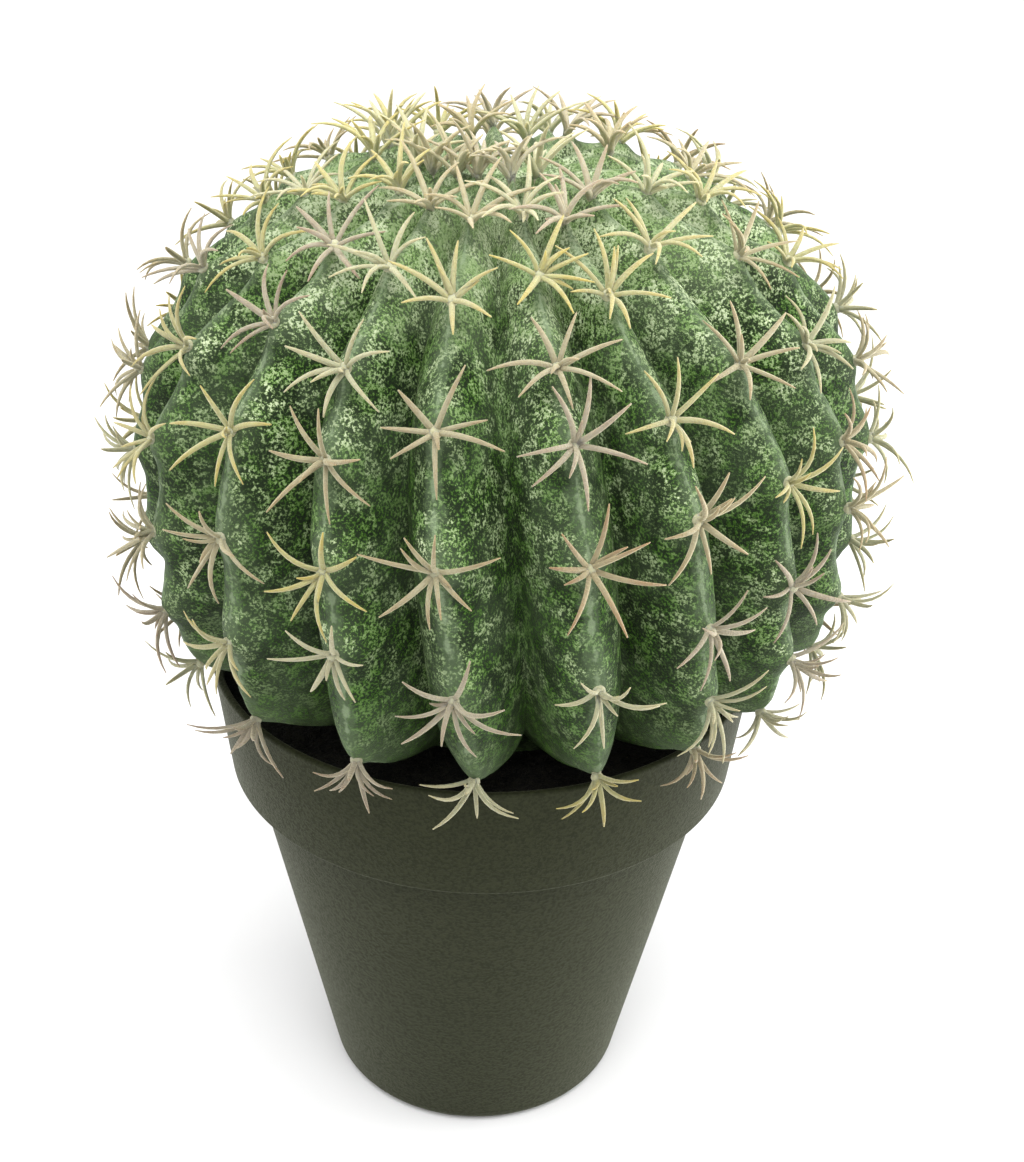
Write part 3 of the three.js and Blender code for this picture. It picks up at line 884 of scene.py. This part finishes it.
def spun_skin(distances):
    """A smooth round skin over a root, whose vertices keep their distance up the ribs as along."""
    foot = SOIL_Z - ROOT_DEPTH
    root = [(0, foot), (ROOT_RADIUS, foot), (ROOT_RADIUS, SOIL_Z + ROOT_CLEARANCE)]
    bm = bmesh.new()
    along = bm.verts.layers.float.new("along")
    chain = [bm.verts.new((radius, 0, height)) for radius, height in root]
    for vert in chain:
        vert[along] = ROOT_DISTANCE - 1
    for distance in distances:
        crest = section_at(distance)[0]
        vert = bm.verts.new((max(crest.x, 0), 0, crest.y))
        vert[along] = distance
        chain.append(vert)
    chain[-1].co.x = 0
    spin_chain(bm, chain, RIB_COUNT * SKIN_COLUMNS)
    return bm


def place_skin(vert, shares, rib, across, distance):
    """Moves a vertex of the round skin out or in to the ribs, and notes where on them it is."""
    vert.co = skin_point(rib, across, distance)
    vert.co += fine_relief(vert.co)
    nearest = rib + round(across)
    vert[shares["crest"]] = abs(2 * across - 1)
    vert[shares["star"]] = star_nearness(nearest, distance)
    vert[shares["pit"]] = pit_depth(nearest, distance) * skin_ridge(across, distance) ** PIT_SHADE_SHARPNESS
    vert[shares["height"]] = (vert.co.z - SOIL_Z) / (EQUATOR_Z + SKIN_TOP - SOIL_Z)


def make_skin(material):
    """The ribbed ball over its root, with the shares that its material reads."""
    rise = CROWN_DISTANCE - ROOT_DISTANCE
    distances = [ROOT_DISTANCE + rise * row / SKIN_ROWS for row in range(SKIN_ROWS + 1)]
    bm = spun_skin(distances)
    shares = {name: bm.verts.layers.float.new(name) for name in ("crest", "height", "star", "pit")}
    along = bm.verts.layers.float["along"]
    columns = RIB_COUNT * SKIN_COLUMNS
    for vert in bm.verts:
        radius = math.hypot(vert.co.x, vert.co.y)
        turn = math.atan2(vert.co.y, vert.co.x) / math.tau % 1
        column = round(turn * columns) % columns
        rib, across = column // SKIN_COLUMNS, column % SKIN_COLUMNS / SKIN_COLUMNS
        row = round((vert[along] - ROOT_DISTANCE) / rise * SKIN_ROWS)
        if vert[along] < ROOT_DISTANCE:
            vert.co = on_plant(radius, vert.co.z, azimuth_across(rib, across, ROOT_DISTANCE))
            vert[shares["height"]] = 0
        elif radius > AXIS_DISTANCE:
            place_skin(vert, shares, rib, across, distances[row])
        else:
            vert.co.x += PLANT_SHIFT
            vert[shares["height"]] = 1
    bmesh.ops.recalc_face_normals(bm, faces=bm.faces)
    piece = finish_piece(bm, "ribbed_skin", material)
    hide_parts("cactus")


# ---------- the stars of spines ----------
SPINES_PER_STAR = 7
SPINE_LENGTH = (13, 19.5)
# The spines' degrees above the star's own plane, low on a rib, on most of it and at the crown,
# and the distances up the rib between which one gives way to the next.
LOW_RISE = (12, 52)
SPINE_RISE = (8, 36)
CROWN_RISE = (22, 54)
LOW_REACH = (25, 60)
CROWN_REACH = (150, 185)
SPINE_JITTER = 0.28  # share of the angle between two spines
STAR_TILT = 0.18
LOW_DROOP = 0.35  # downward tilt of the low stars, but for those at the ribs' lower tips
TIP_REACH = 12
STALK_HEIGHT = (-0.3, 0.7)
POT_CLEARANCE = 1.4
CLEARANCE_TESTS = 10
LIFT_STEP = 1
SPINE_WIDTH = (0.66, 0.86)
CROWN_WIDENING = 1.18
SPINE_FLATNESS = 0.75
SPINE_ARCH = (0.06, 0.2)
SPINE_SWEEP = (-2.4, 2.4)
SPINE_FLARE = 0.3  # more radius at a spine's root, as a share of its width
FLARE_REACH = 0.12  # the share of a spine that its flare takes
SPINE_SIDES = 5
SPINE_CUTS = 6
EXTRA_SPINES = (1, 3)
EXTRA_LENGTH = (6, 13)
EXTRA_RISE = (20, 60)
HUB_RADIUS = 1.75
CROWN_HUB_RADIUS = 1.2
HUB_SQUASH = 0.85
ROOT_SINK = 0.8  # from a hub down to the point that its spines come from
STALK_SHARE = 0.7  # a stalk's radius over its hub's
STALK_SPREAD = 1.25  # and its foot's radius over its own
STALK_SIDES = 8
STALK_ROOT = 3
LOOKS_SEED = 5

# The colours of the spines' roots and tips.
SPINE_COLOURS = {
    "cream": ((0.58, 0.60, 0.38, 1), (0.58, 0.54, 0.32, 1)),
    "yellow": ((0.58, 0.58, 0.28, 1), (0.58, 0.48, 0.12, 1)),
    "beige": ((0.54, 0.50, 0.32, 1), (0.44, 0.34, 0.19, 1)),
    "pink": ((0.52, 0.47, 0.36, 1), (0.37, 0.27, 0.20, 1)),
    "russet": ((0.48, 0.41, 0.24, 1), (0.40, 0.24, 0.12, 1)),
}
# The colours of the front ribs' stars from the lower tip up, by their first letters.
FRONT_COLOURS = [
    "cpbyyyyb",
    "pybyppyb",
    "pcybccbp",
    "cpbbyb",
    "ycrpbycp",
    "rcpbyyp",
    "cppybypc",
    "ccbrcbc",
]
OTHER_COLOURS = "cccccyyyybbbpr"


def clears_pot(hub, tip):
    """Whether a straight spine from its hub to its tip passes over the pot's rim or outside it."""
    for i in range(1, CLEARANCE_TESTS + 1):
        x, y, z = hub.lerp(tip, i / CLEARANCE_TESTS)
        over_rim = z > POT_HEIGHT + POT_CLEARANCE
        outside_rim = math.hypot(x, y) > RIM_RADIUS + POT_CLEARANCE
        if not over_rim and not outside_rim:
            return False
    return True


def rise_limits(place):
    """The limits of the spines' rise, in degrees, on a star at a distance up its rib."""
    from_low = smooth_share(place, *LOW_REACH)
    to_crown = smooth_share(place, *CROWN_REACH)
    limits = []
    for low, usual, crown in zip(LOW_RISE, SPINE_RISE, CROWN_RISE):
        limits.append(between(between(low, usual, from_low), crown, to_crown))
    return limits


def spine_taper(share):
    """A spine's radius along it: flared at its root, then near even, and fast narrowing at its tip."""
    flare = SPINE_FLARE * max(0, 1 - share / FLARE_REACH)
    return 1.1 - 0.25 * share - 0.6 * share**4 + flare


def spine_template():
    """A straight spine, one unit long and about one in radius, that tapers to a blunt point."""
    bm = bmesh.new()
    reach = bm.verts.layers.float.new("reach")
    bmesh.ops.create_cone(
        bm,
        cap_ends=True,
        segments=SPINE_SIDES,
        radius1=1,
        radius2=1,
        depth=1,
        matrix=Matrix.Translation((0, 0, 0.5)),
    )
    long_edges = [edge for edge in bm.edges if abs(edge.verts[0].co.z - edge.verts[1].co.z) > 0.5]
    bmesh.ops.subdivide_edges(bm, edges=long_edges, cuts=SPINE_CUTS, use_grid_fill=True)
    for vert in bm.verts:
        share = vert.co.z
        vert.co.x *= spine_taper(share)
        vert.co.y *= spine_taper(share)
        vert[reach] = share
    bmesh.ops.recalc_face_normals(bm, faces=bm.faces)
    mesh = bpy.data.meshes.new("spine_template")
    bm.to_mesh(mesh)
    bm.free()
    return mesh


def add_spine(bm, template, root, tip, axis, width, arch, sweep):
    """Adds a copy of the template, bent from its root to its tip. It arches towards the star's axis."""
    reach = tip - root
    forward = reach.normalized()
    sideways = axis.cross(forward).normalized()
    upward = forward.cross(sideways)
    start = len(bm.verts)
    bm.from_mesh(template)
    bm.verts.ensure_lookup_table()
    for vert in bm.verts[start:]:
        share = vert.co.z
        offset = sideways * (vert.co.x * width) + upward * (vert.co.y * width * SPINE_FLATNESS)
        bend = upward * (4 * share * (1 - share) * arch) + sideways * (share * (1 - share) * sweep)
        vert.co = root + reach * share + bend + offset


def add_hub(bm, foot, hub, axis, size):
    """The stalk and the knob that the spines stand on."""
    turn = axis.to_track_quat("Z", "Y").to_matrix().to_4x4()
    stalk_foot = foot - axis * STALK_ROOT
    bmesh.ops.create_cone(
        bm,
        cap_ends=True,
        segments=STALK_SIDES,
        radius1=STALK_SHARE * size * STALK_SPREAD,
        radius2=STALK_SHARE * size,
        depth=(hub - stalk_foot).length,
        matrix=Matrix.Translation((stalk_foot + hub) / 2) @ turn,
    )
    bmesh.ops.create_icosphere(
        bm,
        subdivisions=2,
        radius=size,
        matrix=Matrix.Translation(hub) @ turn @ Matrix.Diagonal((1, 1, HUB_SQUASH, 1)),
    )


def star_axis(place, azimuth, normal, draw):
    """The way that a star faces: out from its rib, tilted a little at random."""
    axis = on_plant(normal.x, normal.y, azimuth) - on_plant(0, 0, azimuth)
    sideways = Vector((0, 0, 1)).cross(axis).normalized()
    axis += sideways * draw((-STAR_TILT, STAR_TILT))
    axis.z += draw((-STAR_TILT, STAR_TILT))
    if place > TIP_REACH:
        axis.z -= LOW_DROOP * (1 - smooth_share(place, *LOW_REACH))
    return axis.normalized(), sideways


def add_star(bm, template, rib, place, draw, looks):
    """One star: the spines of the plain form, arched and swept, and a few short ones among them."""
    crest, normal, _ = section_at(place)
    azimuth = rib_azimuth(rib, place)
    axis, sideways = star_axis(place, azimuth, normal, draw)
    uphill = axis.cross(sideways).normalized()
    rightward = uphill.cross(axis)
    foot = on_plant(crest.x, crest.y, azimuth) + axis * TUBERCLE_HEIGHT
    hub = foot + axis * draw(STALK_HEIGHT)
    start = len(bm.verts)
    to_crown = smooth_share(place, *CROWN_REACH)
    add_hub(bm, foot, hub, axis, between(HUB_RADIUS, CROWN_HUB_RADIUS, to_crown))
    root = hub - axis * ROOT_SINK

    def add_one(angle, length, rise):
        out = rightward * math.cos(angle) + uphill * math.sin(angle)
        tip = hub + out * (length * math.cos(rise)) + axis * (length * math.sin(rise))
        while not clears_pot(hub, tip):
            tip.z += LIFT_STEP
        width = looks.uniform(*SPINE_WIDTH) * between(1, CROWN_WIDENING, to_crown)
        arch = length * looks.uniform(*SPINE_ARCH)
        add_spine(bm, template, root, tip, axis, width, arch, looks.uniform(*SPINE_SWEEP))

    step = math.tau / SPINES_PER_STAR
    for i in range(SPINES_PER_STAR):
        angle = step * (i + 0.5 + draw((-SPINE_JITTER, SPINE_JITTER)))
        length = draw(SPINE_LENGTH)
        add_one(angle, length, math.radians(draw(rise_limits(place))))
    for _ in range(looks.randint(*EXTRA_SPINES)):
        angle = looks.uniform(0, math.tau)
        add_one(angle, looks.uniform(*EXTRA_LENGTH), math.radians(looks.uniform(*EXTRA_RISE)))
    bm.verts.ensure_lookup_table()
    note_star(bm, start, looks.random(), place / CROWN_DISTANCE)


def note_star(bm, start, tint, top_light_share):
    """Keeps a star's tint and its share of the painted top light on its vertices, which are those from
    start on.
    """
    layers = bm.verts.layers.float
    for vert in bm.verts[start:]:
        vert[layers["tint"]] = tint
        vert[layers["top_light_share"]] = top_light_share


def star_colour(rib, star, looks):
    """The first letter of a star's colour."""
    if rib < len(FRONT_COLOURS):
        return FRONT_COLOURS[rib][star]
    return looks.choice(OTHER_COLOURS)


def make_spines():
    """The stars, in one piece for each colour."""
    template = spine_template()
    draw = seeded_draws(STAR_SEED)
    looks = random.Random(LOOKS_SEED)
    meshes = {}
    for name in SPINE_COLOURS:
        meshes[name[0]] = bmesh.new()
        for layer in ("reach", "tint", "top_light_share"):
            meshes[name[0]].verts.layers.float.new(layer)
    for rib, places in enumerate(STAR_PLACES):
        for star, place in enumerate(places):
            letter = star_colour(rib, star, looks)
            add_star(meshes[letter], template, rib, place, draw, looks)
    for name, colours in SPINE_COLOURS.items():
        material = set_spine_look(f"spine_{name}", *colours)
        finish_piece(meshes[name[0]], f"spines_{name}", material)
    bpy.data.meshes.remove(template)


# ---------- the scene ----------
def make_floor():
    """A white floor, as wide as the camera can see."""
    bm = bmesh.new()
    bmesh.ops.create_grid(bm, x_segments=1, y_segments=1, size=FLOOR_SIZE)
    mesh = bpy.data.meshes.new("floor")
    bm.to_mesh(mesh)
    bm.free()
    mesh.materials.append(set_floor_look())
    floor = bpy.data.objects.new("floor", mesh)
    bpy.context.scene.collection.objects.link(floor)


make_camera()
light_studio()
make_floor()
soil_material = set_soil_look()
make_pot(set_pot_look())
make_soil(soil_material)
make_crumbs(soil_material)
make_skin(set_skin_look())
make_spines()
